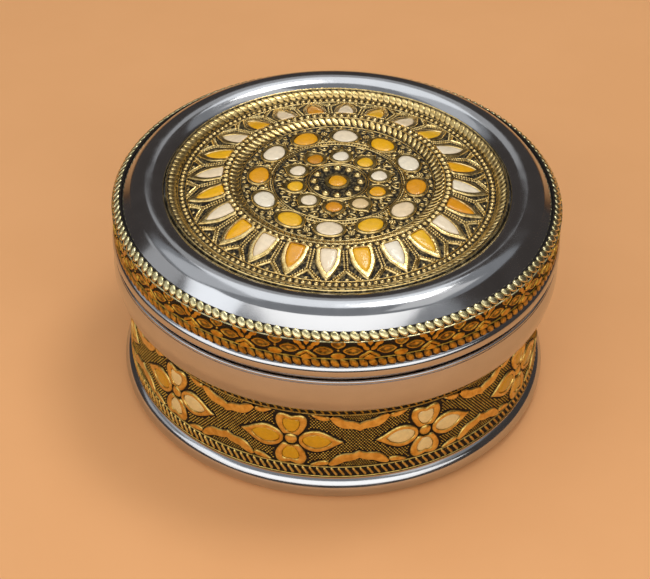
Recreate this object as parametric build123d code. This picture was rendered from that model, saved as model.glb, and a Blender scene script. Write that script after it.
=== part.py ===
from build123d import *
from math import atan2, cos, degrees, radians, sin, sqrt
import os

# Paan box: a spun steel box with a lift-off lid. An enamelled brass medallion lies in the lid's crown,
# and embossed brass bands run round the lid's skirt and the body's waist. A tray with compartments for
# the fillings rests in the mouth, and the betel leaves lie in the space under it.
# Millimetres, +Z up. The origin is the centre of the ring on the table under the foot, and -Y is the front.

# ---------------------------------------------------------------- driving dimensions
box_radius = 90.0           # widest point, over the belly and the lid's hem

# sheets and gaps
steel = 0.8                 # spun steel sheet
brass = 0.6                 # embossed brass sheet
glue = 0.1                  # glue or weld line between joined pieces
seat = 0.3                  # play under a piece that lifts off

# foot
foot_height = 10.6          # table to the lower edge of the waist band
foot_flare = 3.0            # how far the foot stands out beyond the band
foot_roll = 3.4             # height of the foot's widest point
foot_lip = 2.4              # how far the roll turns in at the table
foot_bulge = 0.6            # how far it stands out of its chord there
floor_inset = 2.4           # edge of the body's floor below the band's lower edge

# waist
waist_step = 5.0            # waist band's lower edge inside the belly
waist_draw = 1.6            # how much narrower the band is at its upper edge
waist_height = 36.3

# belly and mouth
belly_lip = 1.1             # how far the belly's lower edge lies inside its widest point
belly_shoulder = 0.8        # and its upper edge
belly_height = 11.7
belly_underside = 4.0       # height from the ledge to the belly's lower edge
ledge_reach = 1.0           # how far the ledge goes on beyond the collar's bore
neck_inset = 0.1            # bead that the lid's hem meets, inside the belly
neck_height = 2.6
collar_play = 0.5           # between the lid's wall and the collar it drops over
collar_head = 3.4           # room over the collar, under the lid's shoulder

# lid
hem_stand = 1.0             # how far the rolled hem stands out beyond the band
hem_height = 3.8
hem_wall = 2.3              # bare steel between the hem and the band
skirt_height = 12.3         # embossed band
rope_width = 2.8            # the rope border's reach towards the middle
rope_rise = 2.35            # and its rise over the skirt
rope_bulge = 0.35           # how far the rope stands out of its own chord
shoulder_width = 3.5        # steel cone between the rope border and the crease at the crown's foot
shoulder_rise = 3.95
crown_out = 6.8             # from that crease to the crown's top
crown_rise = 2.75
crown_in = 6.6              # and from its top to the recess for the medallion
crown_fall = 2.8
crown_bulge = 0.72          # how far the crown stands out of each of those chords

# medallion, pressed in brass: widths from the rim inwards, and heights over its flat underside
medallion_gap = 0.3         # between the medallion and the recess it lies in
rim_width = 4.6             # plain edge and rope border
rim_bulge = 0.9
track_width = 3.5           # bead track inside the border
cone_width = 15.2           # petal zone
crest_width = 2.0           # bead ring at the petal zone's inner end
slope_width = 4.6           # slope down to the sunken disc
rim_thickness = 2.9
track_thickness = 1.0
crest_thickness = 5.3
disc_thickness = 3.4

# enamel
enamel = 0.6                # thickness
petal_count = 24
petal_tip_gap = 3.6         # from the petal zone's outer end to a petal's tip
petal_root_gap = 0.6        # and from its inner end to a petal's broad end
petal_width = 6.6
petal_turn = -78.6          # direction of the first amber petal, in degrees

# bezels raised on the medallion
bezel_height = 0.8
petal_bezel = 1.0           # width of a bezel at a petal's side
tip_stretch = 2.5           # how much longer it reaches at the petal's tip
bezel_root = 0.4            # how far bezels are carried down into the plate
bezel_floor = 0.1           # floor of a petal's bezel over the cone
oval_count = 12
oval_inset = 7.1            # from the disc's edge to the ovals' middle
oval_size = (9.0, 12.6)     # towards the rim and along it
oval_turn = -65.3           # direction of the first oval
drop_count = 10
drop_inset = 21.2           # from the disc's edge to the middle of the inner drops
drop_reach = (4.6, 6.6)     # from a drop's middle inwards, and out to its point
drop_width = 9.0
drop_turn = -94.3           # direction of the first drop
hub_width = 10.4            # bezel in the medallion's centre, over its flats

# flowers on the waist band
flower_count = 10
flower_turn = -101.0        # direction of the first amber flower, in degrees
leaf_reach = (5.4, 17.6)    # a side petal's near and far end, from the flower's centre
leaf_width = 6.6
heart_reach = (3.4, 10.4)   # the same for an upright petal
heart_width = 6.4

# compartment tray
tray_play = 0.6             # between the tray and the mouth
tray_sink = 9.0             # tray's rim below the collar's
cell_sink = 1.6             # dividers below the tray's rim
cell_radius = 24.0          # middle compartment, over its corners
cell_sides = 6
loop_width = 8.0            # lifting loop over the middle compartment
loop_sheet = 1.2
loop_room = 7.8             # between the loop and the lid
loop_corner = 6.0           # height and width of the loop's bevelled corners

# ---------------------------------------------------------------- derived levels and radii
band_inset = brass + glue                       # from a band's face to the steel behind it
waist_radius = box_radius - waist_step          # outside of the waist band at its lower edge
waist_top = foot_height + waist_height
wall_low = waist_radius - band_inset            # outside of the body's wall at the foot
wall_high = wall_low - waist_draw               # and at the top of the waist
floor_low = foot_height - floor_inset
floor_top = floor_low + steel
ledge_top = waist_top + steel                   # ledge that the tray rests on

belly_low = waist_top + belly_underside
belly_top = belly_low + belly_height
belly_middle = (belly_low + belly_top) / 2
neck_middle = belly_top + neck_height / 2
neck_top = belly_top + neck_height

skirt_radius = box_radius - hem_stand           # outside of the lid's band
lid_wall = skirt_radius - band_inset            # outside of the lid's wall
lid_inner = lid_wall - steel
hem_low = neck_top + seat
hem_top = hem_low + hem_height
skirt_low = hem_top + hem_wall
skirt_top = skirt_low + skirt_height
wall_top = skirt_top - band_inset
shoulder_radius = lid_wall - rope_width
shoulder_low = wall_top + rope_rise
valley_radius = shoulder_radius - shoulder_width
valley_top = shoulder_low + shoulder_rise
crown_radius = valley_radius - crown_out
crown_top = valley_top + crown_rise
recess_radius = crown_radius - crown_in
recess_top = crown_top - crown_fall
medallion_seat = recess_top - rim_thickness     # lid sheet under the medallion

collar_outer = lid_inner - collar_play
collar_inner = collar_outer - steel
collar_top = wall_top - steel - collar_head

medallion_radius = recess_radius - medallion_gap
cone_radius = medallion_radius - rim_width - track_width
crest_outer = cone_radius - cone_width
disc_radius = crest_outer - crest_width - slope_width
petal_length = cone_width - petal_tip_gap - petal_root_gap

tray_low = ledge_top + seat
tray_floor = tray_low + steel
tray_rim = collar_top - tray_sink
tray_radius = collar_inner - tray_play
cell_low = tray_floor + glue
cell_height = tray_rim - cell_sink - cell_low
cell_flat = cell_radius * cos(radians(180 / cell_sides))    # from the axis to a side of the cell
loop_top = medallion_seat - steel - loop_room


# ---------------------------------------------------------------- helpers
def turned(*edges):
    """Solid of revolution about Z, from edges drawn as (radius, height)."""
    return revolve(make_face(Plane.XZ * Curve(list(edges))), Axis.Z)


def tapered(start, end):
    """Straight side of a long taper."""
    return Bezier(start, end)


def rounded(start, end, bulge, flats):
    """Round stretch of an outline in a few flats, from start to end. Its middle stands out of the chord
    by bulge: to the right of its direction, or to the left if negative."""
    run_x = end[0] - start[0]
    run_y = end[1] - start[1]
    length = sqrt(run_x**2 + run_y**2)
    middle_x = (start[0] + end[0]) / 2 + bulge * run_y / length
    middle_y = (start[1] + end[1]) / 2 - bulge * run_x / length
    arc = ThreePointArc(start, (middle_x, middle_y), end)
    return Polyline(*[arc @ (i / flats) for i in range(flats + 1)])


def around(piece, count, first=0.0, every=1, offset=0):
    """Copies of a piece round the Z axis: every nth of the count places, from an offset."""
    return [Rot(0, 0, first + 360 / count * i) * piece for i in range(offset, count, every)]


# ---------------------------------------------------------------- body
def body_shell():
    """Drawn vessel: floor, waist wall, belly, neck bead and collar. A sleeve inside closes the belly."""
    belly_foot = (box_radius - belly_lip, belly_low)
    belly_head = (box_radius - belly_shoulder, belly_top)
    return turned(
        Polyline((0, floor_top), (0, floor_low), (wall_low, floor_low)),
        tapered((wall_low, floor_low), (wall_high, waist_top)),
        Polyline(
            (wall_high, waist_top),
            (collar_inner + ledge_reach, waist_top),
            belly_foot,
            (box_radius, belly_middle),
            belly_head,
            (box_radius - neck_inset, neck_middle),
            (collar_outer, neck_top),
            (collar_outer, collar_top),
            (collar_inner, collar_top),
            (collar_inner, ledge_top),
            (wall_high - steel, ledge_top),
        ),
        tapered((wall_high - steel, ledge_top), (wall_low - steel, floor_top)),
        Line((wall_low - steel, floor_top), (0, floor_top)),
    )


def foot_ring():
    """Rolled foot: a sleeve round the vessel's lower edge, which flares out and turns in at the table."""
    sleeve = wall_low + glue
    top = foot_height - glue
    foot_radius = waist_radius + foot_flare
    lip = (foot_radius - foot_lip, 0)
    roll = (foot_radius, foot_roll)
    return turned(
        rounded(lip, roll, foot_bulge, 2),
        tapered(roll, (waist_radius, top)),
        Polyline((waist_radius, top), (sleeve, top), (sleeve, 0), lip),
    )


def waist_band():
    """Embossed brass strip round the waist."""
    low = (waist_radius, foot_height)
    high = (waist_radius - waist_draw, waist_top - glue)
    high_back = (wall_high + glue, waist_top - glue)
    low_back = (wall_low + glue, foot_height)
    return turned(tapered(low, high), Line(high, high_back), tapered(high_back, low_back), Line(low_back, low))


def on_waist(outline, along, up):
    """Inlay on the waist band, its outline set out along the band and up from the band's middle."""
    rise = waist_height / 2 + up
    radius = waist_radius - waist_draw * rise / waist_height
    lean = degrees(atan2(waist_draw, waist_height))
    inlay = Pos(0, 0, glue) * extrude(outline, enamel)
    upright = Rot(0, 90 - lean, 0) * Rot(0, 0, 90) * inlay
    return Rot(0, 0, degrees(along / radius)) * Pos(radius, 0, foot_height + rise) * upright


def leaf_outline():
    """Side petal, pointed at both ends, about its own middle."""
    half = (leaf_reach[1] - leaf_reach[0]) / 2
    side = leaf_width / 2
    points = [(-half, 0), (-half / 3, -side), (half / 3, -side), (half, 0), (half / 3, side), (-half / 3, side)]
    return make_face(Polyline(*points, close=True))


def heart_outline():
    """Upright petal, narrow at the flower's centre and broad above, about its own middle."""
    half = (heart_reach[1] - heart_reach[0]) / 2
    side = heart_width / 2
    right = [(side / 3, -half), (side, half / 2), (side / 2, half)]
    left = [(-x, y) for x, y in reversed(right)]
    return make_face(Polyline(*right, *left, close=True))


def flower_enamel(offset):
    """Enamel of every second waist flower: a leaf at each side and a heart above and below."""
    leaf_middle = sum(leaf_reach) / 2
    heart_middle = sum(heart_reach) / 2
    petals = [
        on_waist(leaf_outline(), leaf_middle, 0),
        on_waist(leaf_outline(), -leaf_middle, 0),
        on_waist(heart_outline(), 0, heart_middle),
        on_waist(Rot(0, 0, 180) * heart_outline(), 0, -heart_middle),
    ]
    return Compound([copy for petal in petals for copy in around(petal, flower_count, flower_turn, 2, offset)])


# ---------------------------------------------------------------- lid
def lid_shell():
    """Spun lid: sheet under the medallion, crown, shoulder, wall and rolled hem."""
    hem_bulge = box_radius - lid_wall
    recess = (recess_radius, recess_top)
    crown = (crown_radius, crown_top)
    valley = (valley_radius, valley_top)
    shoulder = (shoulder_radius, shoulder_low)
    under_low = medallion_seat - steel
    under_crown = crown_top - crown_rise / 4 - steel
    under_valley = (valley_radius, valley_top - steel)
    under_inner = (crown_radius - crown_in / 2, under_crown)
    under_outer = (crown_radius + crown_out / 2, under_crown)
    return turned(
        Polyline((0, under_low), (0, medallion_seat), (recess_radius, medallion_seat), recess),
        rounded(recess, crown, -crown_bulge, 2),
        rounded(crown, valley, -crown_bulge, 2),
        Polyline(valley, shoulder, (lid_wall, wall_top), (lid_wall, hem_top)),
        rounded((lid_wall, hem_top), (lid_wall, hem_low), -hem_bulge, 2),
        Polyline(
            (lid_wall, hem_low),
            (lid_inner, hem_low),
            (lid_inner, wall_top - steel),
        ),
        tapered((lid_inner, wall_top - steel), under_valley),
        Polyline(under_valley, under_outer, under_inner),
        tapered(under_inner, (recess_radius, under_low)),
        Line((recess_radius, under_low), (0, under_low)),
    )


def lid_band():
    """Embossed brass strip round the lid's skirt, with a rope border folded over the shoulder."""
    back = lid_wall + glue
    fold_back = (shoulder_radius + glue, shoulder_low + glue)
    fold = (shoulder_radius + band_inset, shoulder_low + band_inset)
    top = (skirt_radius, skirt_top)
    return turned(
        Polyline(top, (skirt_radius, skirt_low), (back, skirt_low), (back, wall_top + glue), fold_back, fold),
        rounded(fold, top, -rope_bulge, 2),
    )


def medallion_plate():
    """Pressed brass disc: rope border, bead track, petal cone, crest, inner slope and sunken disc."""
    edge = (medallion_radius, rim_thickness)
    border = (medallion_radius - rim_width, track_thickness)
    cone_low = (cone_radius, track_thickness)
    cone_high = (crest_outer, crest_thickness)
    crest = (crest_outer - crest_width, crest_thickness)
    disc = [(disc_radius, disc_thickness), (0, disc_thickness)]
    profile = turned(
        Polyline(*disc, (0, 0), (medallion_radius, 0), edge),
        rounded(edge, border, rim_bulge, 2),
        Polyline(border, cone_low, cone_high, crest, disc[0]),
    )
    return Pos(0, 0, medallion_seat + glue) * profile + medallion_bezels()


def petal_outline(margin=0.0):
    """Medallion petal about its own middle, its tip at +X, with a margin round it."""
    root = -petal_length / 2 - margin / 2
    tip = petal_length / 2 + margin * tip_stretch
    side = petal_width / 2 + margin
    return make_face(Polyline((root, -side), (0, -side), (tip, 0), (0, side), (root, side), close=True))


def on_cone(piece):
    """Piece drawn flat, laid on the petal cone along +X."""
    middle = crest_outer + petal_root_gap + petal_length / 2
    fall = (crest_thickness - track_thickness) / cone_width
    height = medallion_seat + glue + crest_thickness - fall * (middle - crest_outer)
    return Pos(middle, 0, height) * Rot(0, degrees(atan2(fall, 1)), 0) * piece


def petal_enamel(offset):
    """Enamel of every second petal, lying on the cone."""
    petal = on_cone(Pos(0, 0, bezel_floor + glue) * extrude(petal_outline(), enamel))
    return Compound(around(petal, petal_count, petal_turn, 2, offset))


def raised(face, level):
    """Bezel with a flat top, standing on the medallion at a level and rooted in it."""
    return Pos(0, 0, level - bezel_root) * extrude(face, bezel_root + bezel_height)


def medallion_bezels():
    """Bezels pressed up round the petals, and on the disc round the ovals, the drops and the hub."""
    disc_level = medallion_seat + glue + disc_thickness
    pocket = Pos(0, 0, bezel_floor) * extrude(petal_outline(glue), bezel_height)
    frame = on_cone(raised(petal_outline(petal_bezel), 0) - pocket)
    corners = [radians(22.5 + 45 * k) for k in range(8)]
    rim = [(oval_size[0] / 2 * cos(c), oval_size[1] / 2 * sin(c)) for c in corners]
    oval = Pos(disc_radius - oval_inset, 0, 0) * raised(make_face(Polyline(*rim, close=True)), disc_level)
    side = drop_width / 2
    low, point = drop_reach
    drop_edge = [(-low, -side / 2), (0, -side), (point, 0), (0, side), (-low, side / 2)]
    drop = Pos(disc_radius - drop_inset, 0, 0) * raised(make_face(Polyline(*drop_edge, close=True)), disc_level)
    hub = raised(RegularPolygon(hub_width / 2, 8, major_radius=False), disc_level)
    ovals = around(oval, oval_count, oval_turn)
    drops = around(drop, drop_count, drop_turn)
    return around(frame, petal_count, petal_turn) + ovals + drops + [hub]


# ---------------------------------------------------------------- tray
def tray_pan():
    """Round pan that rests on the ledge in the mouth."""
    wall = tray_radius - steel
    return turned(
        Polyline(
            (0, tray_low),
            (tray_radius, tray_low),
            (tray_radius, tray_rim),
            (wall, tray_rim),
            (wall, tray_floor),
            (0, tray_floor),
            close=True,
        )
    )


def tray_cell():
    """Folded strip round the middle compartment."""
    wall = RegularPolygon(cell_radius, cell_sides) - RegularPolygon(cell_radius - steel, cell_sides)
    return Pos(0, 0, cell_low) * extrude(wall, cell_height)


def tray_divider():
    """Upright strip from a side of the middle compartment to the pan's wall, along X."""
    start = cell_flat + glue
    end = tray_radius - steel - glue
    return Pos((start + end) / 2, 0, cell_low + cell_height / 2) * Box(end - start, steel, cell_height)


def tray_loop():
    """Bent strap across the middle compartment, by which the tray is lifted."""
    outer = cell_flat - steel - glue
    inner = outer - loop_sheet
    bevel = loop_top - loop_corner
    right = [(inner, cell_low), (outer, cell_low), (outer, bevel), (outer - loop_corner, loop_top)]
    left = [(-y, z) for y, z in reversed(right)]
    under = [(outer - loop_corner, loop_top - loop_sheet), (inner, bevel)]
    under_left = [(-y, z) for y, z in reversed(under)]
    strap = make_face(Plane.YZ * Polyline(*right, *left, *under_left, *under, close=True))
    return extrude(strap, loop_width / 2, both=True)


# ---------------------------------------------------------------- write one file for each node
nodes = {
    "body_shell": body_shell(),
    "foot_ring": foot_ring(),
    "waist_band": waist_band(),
    "flower_enamel_amber": flower_enamel(0),
    "flower_enamel_ivory": flower_enamel(1),
    "tray_pan": tray_pan(),
    "tray_cell": tray_cell(),
    "tray_loop": tray_loop(),
    "lid_shell": lid_shell(),
    "lid_band": lid_band(),
    "medallion_plate": medallion_plate(),
    "petal_enamel_amber": petal_enamel(0),
    "petal_enamel_ivory": petal_enamel(1),
}
for number, strip in enumerate(around(tray_divider(), cell_sides, 90), start=1):
    nodes[f"tray_divider_{number}"] = strip

os.makedirs("parts", exist_ok=True)
for name, solid in nodes.items():
    export_step(solid, f"parts/{name}.step")
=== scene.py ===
import math

import bpy
import numpy as np
from mathutils import Matrix, Vector


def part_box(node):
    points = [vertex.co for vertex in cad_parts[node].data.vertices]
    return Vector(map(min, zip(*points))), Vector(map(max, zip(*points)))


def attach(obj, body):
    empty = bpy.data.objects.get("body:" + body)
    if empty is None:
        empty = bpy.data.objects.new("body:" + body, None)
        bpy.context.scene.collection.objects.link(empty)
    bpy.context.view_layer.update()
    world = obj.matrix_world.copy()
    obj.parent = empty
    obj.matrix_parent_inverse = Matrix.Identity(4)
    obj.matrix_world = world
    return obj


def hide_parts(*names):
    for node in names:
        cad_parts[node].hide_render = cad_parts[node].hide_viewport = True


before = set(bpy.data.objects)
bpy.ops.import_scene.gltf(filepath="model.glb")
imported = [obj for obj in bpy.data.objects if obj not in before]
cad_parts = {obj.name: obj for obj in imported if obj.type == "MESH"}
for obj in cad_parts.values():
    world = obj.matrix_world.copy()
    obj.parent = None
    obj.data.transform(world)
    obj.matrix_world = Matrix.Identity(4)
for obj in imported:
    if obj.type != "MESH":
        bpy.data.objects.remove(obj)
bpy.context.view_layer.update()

# Dressed paan box. The steel is turned again with round rolls, and the brass bands and the medallion get
# their pressed relief as mesh: ropes, beads, flowers, garlands, bezels and studs on their surfaces.
# Patterns are in millimetres on the surface; MM turns them into the frame's metres.
MM = 0.001
random = np.random.default_rng(7)


def levels(node):
    """Widest radius, lowest and highest level of a CAD node, in millimetres."""
    low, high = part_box(node)
    return high.x / MM, low.z / MM, high.z / MM


# ---- levels and radii from the frame
box_radius, body_low, collar_top = levels("body_shell")
foot_radius, ground, foot_top = levels("foot_ring")
waist_radius, waist_low, waist_high = levels("waist_band")
hem_radius, hem_low, crown_top = levels("lid_shell")
skirt_radius, skirt_low, rope_top = levels("lid_band")
medallion_radius, medallion_low, _ = levels("medallion_plate")

sheet = 0.8               # steel sheet
brass_sheet = 0.6
glue = 0.1                # glue or weld line between joined pieces
band_inset = 0.7          # from a brass band's face to the steel behind it
sink = 0.3                # how far the bands' ground lies behind their CAD face
foot_roll = 5.25          # radius of the foot's roll
waist_draw = 1.6          # how much narrower the waist band is at its upper edge
ledge_rise = 0.9          # from the waist band's upper edge to the ledge that the tray rests on
belly_rise = 4.1          # and to the belly's lower edge
belly_height = 11.7
neck_height = 1.6         # bead between the belly and the collar
collar_play = 0.5         # between the lid's wall and the collar
rope_width = 2.8          # the lid band's rope border towards the middle
rope_rise = 2.35          # and over the skirt
shoulder_width = 3.5      # steel cone between the rope and the crease at the crown's foot
shoulder_rise = 3.95
crown_in = 6.6            # from the crown's top to the recess for the medallion
crown_fall = 2.8
medallion_gap = 0.3       # between the medallion and the recess it lies in
rim_width = 4.6           # medallion's border, then its zones from there inwards
track_width = 3.5
cone_width = 15.2
crest_width = 2.0
slope_width = 4.6
rim_thickness = 2.9       # heights of those zones over the medallion's underside
track_thickness = 1.0
crest_thickness = 5.3
disc_thickness = 3.4

lid_wall = skirt_radius - band_inset
skirt_top = rope_top - rope_rise
wall_low = waist_radius - band_inset
wall_high = wall_low - waist_draw
recess_radius = medallion_radius + medallion_gap
recess_top = crown_top - crown_fall
track_level = medallion_low + track_thickness
crest_level = medallion_low + crest_thickness
disc_level = medallion_low + disc_thickness

# ---- counts and directions, in degrees
flower_count = 10         # on the waist, amber and ivory in turn
flower_turn = -101.0      # direction of the first amber one
skirt_count = 24          # flowers on the lid's skirt, with a garland between each two
skirt_turn = -89.3
petal_count = 24          # on the medallion, amber and ivory in turn
petal_turn = -78.6
oval_count = 12
oval_turn = -65.3
drop_count = 10
drop_turn = -94.3
high_strand_count = 174   # of the waist's two ropes
low_strand_count = 189
rope_bead_count = 156
laurel_count = 160
border_count = 150
track_count = 156
crest_count = 98
hub_bead_count = 12
dot_count = 144


# ---- lines
def curve(points, count, closed=False):
    """Smooth line through points, as count points evenly spaced along it."""
    p = np.array(points, float)
    if closed:
        p = np.vstack([p[-1:], p, p[:2]])
    else:
        p = np.vstack([2 * p[0] - p[1], p, 2 * p[-1] - p[-2]])
    t = np.linspace(0, 1, 12, endpoint=False)[:, None]
    spans = []
    for a, b, c, d in zip(p, p[1:], p[2:], p[3:]):
        cubic = 2 * b + (c - a) * t + (2 * a - 5 * b + 4 * c - d) * t**2 + (3 * b - a - 3 * c + d) * t**3
        spans.append(cubic / 2)
    line = np.vstack(spans + [p[-2:-1]])
    reach = np.concatenate([[0], np.cumsum(np.hypot(*np.diff(line, axis=0).T))])
    even = np.linspace(0, reach[-1], count, endpoint=not closed)
    return np.stack([np.interp(even, reach, line[:, 0]), np.interp(even, reach, line[:, 1])], 1)


def outline(half, count):
    """Closed outline, pointed where it starts, from its right half drawn from there to the far end."""
    left = [(-x, y) for x, y in reversed(half[1:-1])]
    return curve([*half, *left, half[0]], count + 1)[:-1]


def oval(half_x, half_y, count):
    """Closed ellipse about the origin."""
    turn = np.arange(count) * 2 * np.pi / count
    return np.stack([half_x * np.cos(turn), half_y * np.sin(turn)], 1)


def shrunk(loop, share):
    """Loop drawn in towards its middle to a share of its size."""
    middle = loop.mean(0)
    return middle + (loop - middle) * share


# ---- shapes, as (points, quads, triangles, level of wear and painted shade)
def loft(loops, heights, wear_and_shade_levels, closed=True, cap=None):
    """Skin through loops at heights over the surface. Each loop has a level from 0 to 1: near 1 where wear
    has polished the brass bright, near 0 at the foot of a relief and on the ground, where the brass gets
    its recess colour, patina together with painted shade.
    A cap closes the last loop over its middle, at a height of its own."""
    count = len(loops[0])
    rows = len(loops)
    points = np.zeros((rows * count, 3))
    wear_and_shade = np.zeros(rows * count)
    for row, (loop, height, value) in enumerate(zip(loops, heights, wear_and_shade_levels)):
        points[row * count:(row + 1) * count, :2] = loop
        points[row * count:(row + 1) * count, 2] = height
        wear_and_shade[row * count:(row + 1) * count] = value
    here = np.arange(count if closed else count - 1)
    ahead = (here + 1) % count
    quads = np.vstack([
        np.stack([here, ahead, ahead + count, here + count], 1) + row * count for row in range(rows - 1)
    ])
    triangles = np.zeros((0, 3), int)
    if cap is not None:
        last = (rows - 1) * count
        points = np.vstack([points, [*loops[-1].mean(0), cap]])
        wear_and_shade = np.append(wear_and_shade, 1.0)
        triangles = np.stack([here + last, ahead + last, np.full(len(here), rows * count)], 1)
    corners = points[quads][:, :, :2]
    across = corners[:, 2] - corners[:, 0]
    along = corners[:, 3] - corners[:, 1]
    if (across[:, 0] * along[:, 1] - across[:, 1] * along[:, 0]).sum() < 0:
        quads = quads[:, ::-1]
        triangles = triangles[:, ::-1]
    return points, quads, triangles, wear_and_shade


def joined(*shapes):
    """Several shapes as one."""
    starts = np.cumsum([0] + [len(s[0]) for s in shapes])
    return (
        np.vstack([s[0] for s in shapes]),
        np.vstack([s[1] + start for s, start in zip(shapes, starts)]),
        np.vstack([s[2] + start for s, start in zip(shapes, starts)]),
        np.concatenate([s[3] for s in shapes]),
    )


def at(shape, x, y, turn=0.0):
    """Shape turned by degrees and moved along the surface."""
    points = shape[0].copy()
    c = math.cos(math.radians(turn))
    s = math.sin(math.radians(turn))
    points[:, :2] = points[:, :2] @ np.array([[c, s], [-s, c]]) + (x, y)
    return points, *shape[1:]


def upturned(shape):
    """Shape mirrored along the surface, its lower side up."""
    points, quads, triangles, wear_and_shade = shape
    return points * (1, -1, 1), quads[:, ::-1], triangles[:, ::-1], wear_and_shade


def grown(shape, share, level):
    """Shape drawn out along the surface to a share of its size, about a level."""
    points = shape[0].copy()
    points[:, :2] = (points[:, :2] - (0, level)) * share + (0, level)
    return points, *shape[1:]


def bead(half_x, half_y, height, count=8):
    """Domed bead."""
    edge = oval(half_x, half_y, count)
    loops = [edge, edge * 0.85, edge * 0.5]
    return loft(loops, [0, height * 0.55, height * 0.88], [0.1, 0.75, 1], cap=height)


def stud(half_x, half_y, height):
    """Small pointed stud of a stippled ground."""
    edge = oval(half_x, half_y, 6)
    return loft([edge, edge * 0.45], [0, height * 0.85], [0.05, 0.9], cap=height)


def beads(spots, radius, height, count=8):
    """Beads of one size at several spots."""
    return joined(*[at(bead(radius, radius, height, count), x, y) for x, y in spots])


def pillow(edge, height, rim=0.86, wear_and_shade=1.0):
    """Raised patch with rounded edges."""
    loops = [edge, shrunk(edge, (1 + rim) / 2), shrunk(edge, rim), shrunk(edge, 0.45)]
    heights = [0, height * 0.75, height, height * 1.05]
    return loft(loops, heights, [0, 0.7 * wear_and_shade, wear_and_shade, wear_and_shade], cap=height * 1.08)


def dished(edge, height, rim, floor):
    """Petal with a raised rim round a sunken middle, darker with patina and painted shade."""
    loops = [edge, shrunk(edge, 0.93), shrunk(edge, rim + 0.06), shrunk(edge, rim), shrunk(edge, 0.4)]
    return loft(loops, [0, height, height, floor, floor], [0, 1, 0.9, 0.35, 0.3], cap=floor)


def bezel(outer, inner, height, floor):
    """Raised band between two outlines, with a bevel outside and a slope down to the inner one."""
    def between(share):
        return outer + (inner - outer) * share
    loops = [outer, between(0.12), between(0.3), between(0.9), inner]
    heights = [0, height * 0.8, height, height * 0.9, floor]
    return loft(loops, heights, [0, 0.9, 1, 0.95, 0.5])


def dome(edge, low, high):
    """Domed filling of glassy enamel."""
    loops = [edge, shrunk(edge, 0.93), shrunk(edge, 0.7), shrunk(edge, 0.35)]
    rise = high - low
    heights = [low - 0.3, low + rise * 0.35, low + rise * 0.8, low + rise * 0.97]
    return loft(loops, heights, [0.5, 0.5, 0.5, 0.5], cap=high)


def ridge(path, width, height, closed=False):
    """Rounded ridge along a path. An open one narrows at its ends."""
    if closed:
        along = np.roll(path, -1, 0) - np.roll(path, 1, 0)
        half = np.full(len(path), width / 2)
    else:
        along = np.gradient(path, axis=0)
        place = np.linspace(0, 1, len(path))
        half = width / 2 * np.clip(np.sin(np.pi * place) * 4, 0.15, 1)
    side = np.stack([-along[:, 1], along[:, 0]], 1) / np.hypot(*along.T)[:, None]
    loops = [path + side * (half * k)[:, None] for k in (-1, -0.6, 0, 0.6, 1)]
    rise = height * half * 2 / width
    return loft(loops, [0 * rise, rise * 0.75, rise, rise * 0.75, 0 * rise], [0, 0.8, 1, 0.8, 0], closed)


# ---- surfaces
class Surface:
    """Surface of revolution. Its outline runs upwards, or inwards to the axis, as (radius, height).
    On a band, x runs along it and y up from its lower edge. On a disc, both lie flat and -y is outwards."""

    def __init__(self, points, disc=False):
        self.outline = np.array(points, float)
        run = np.diff(self.outline, axis=0)
        length = np.hypot(*run.T)
        self.reach = np.concatenate([[0], np.cumsum(length)])
        facing = np.stack([run[:, 1], -run[:, 0]], 1) / length[:, None]
        corner = np.vstack([facing[:1], facing[:-1] + facing[1:], facing[-1:]])
        self.facing = corner / np.hypot(*corner.T)[:, None]
        self.disc = disc

    def place(self, points):
        """Points (x, y, height over the surface) as (angle, radius, level)."""
        x, y, height = points.T
        if self.disc:
            angle = np.arctan2(x, -y)
            reach = np.interp(-np.hypot(x, y), -self.outline[:, 0], self.reach)
        else:
            angle = x / self.outline[0, 0]
            reach = y
        place = [np.interp(reach, self.reach, self.outline[:, k]) for k in (0, 1)]
        out = [np.interp(reach, self.reach, self.facing[:, k]) for k in (0, 1)]
        return angle, place[0] + out[0] * height, place[1] + out[1] * height


def arc(start, end, bulge, count):
    """Round line from start to end. Its middle stands out of the chord by bulge, on the right-hand side."""
    start = np.array(start, float)
    end = np.array(end, float)
    run = end - start
    length = np.hypot(*run)
    side = np.array([run[1], -run[0]]) / length
    share = np.linspace(0, 1, count)
    radius = (length**2 / 4 + bulge**2) / (2 * bulge)
    swell = np.sqrt(radius**2 - (length * (share - 0.5))**2) - (radius - bulge)
    return [tuple(p) for p in start + run * share[:, None] + side * swell[:, None]]


def placed(name, data):
    """Object in the scene that holds a mesh, a lamp or a camera."""
    thing = bpy.data.objects.new(name, data)
    bpy.context.scene.collection.objects.link(thing)
    return thing


def new_piece(name, points, faces, material, wear_and_shade, tone, crease=50.0):
    """Mesh object in metres from millimetres, smooth except where it turns by more than crease degrees."""
    mesh = bpy.data.meshes.new(name)
    mesh.from_pydata((points * MM).tolist(), [], faces)
    mesh.shade_smooth()
    mesh.set_sharp_from_angle(angle=math.radians(crease))
    for key, values in (("wear_and_shade", wear_and_shade), ("tone", tone)):
        mesh.attributes.new(key, "FLOAT", "POINT").data.foreach_set("value", np.asarray(values, np.float32))
    mesh.materials.append(material)
    piece = placed(name, mesh)
    return piece


def spread(count, first=0.0):
    """Directions of evenly spaced copies round the axis, in degrees."""
    return first + 360 / count * np.arange(count)


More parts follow.
